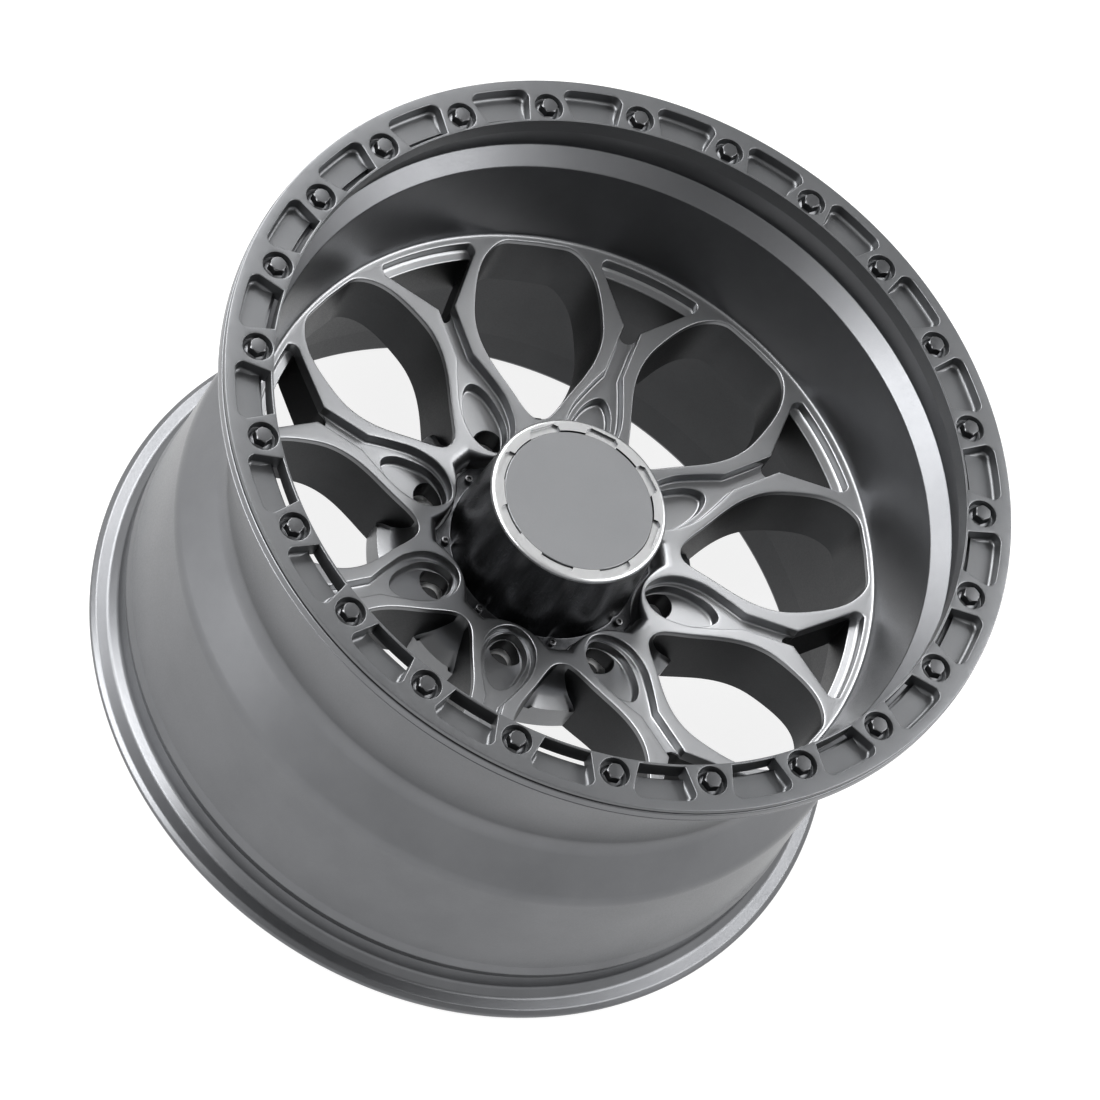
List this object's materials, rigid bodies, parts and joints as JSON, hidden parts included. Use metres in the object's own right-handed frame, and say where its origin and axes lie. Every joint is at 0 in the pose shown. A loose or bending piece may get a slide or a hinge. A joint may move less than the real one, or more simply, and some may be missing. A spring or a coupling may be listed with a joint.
{
  "type": "off-road wheel",
  "caption": "Deep-dish cast alloy truck wheel with Y-shaped spokes, a bolted outer ring with slotted pockets and a tall hub cap.",
  "frame": {"origin": "centre of the hub bore at the mounting face", "axes": "+Z along the wheel axis, outboard, towards the hub cap; +X along one spoke"},
  "size_m": [0.5473, 0.5474, 0.3284],
  "materials": {
    "gunmetal_alloy": "satin gunmetal coating",
    "ring_grey": "satin grey coating",
    "bolt_steel": "satin dark grey",
    "cap_dark": "brushed dark coating, bright rim",
    "disc_grey": "satin grey",
    "screw_steel": "plain steel"
  },
  "bodies": {
    "root": {"wheel_casting": "gunmetal_alloy", "outer_ring": "ring_grey", "ring_bolts": "bolt_steel", "hub_cap": "cap_dark", "cap_disc": "disc_grey", "cap_screws": "screw_steel"}
  },
  "joints": []
}
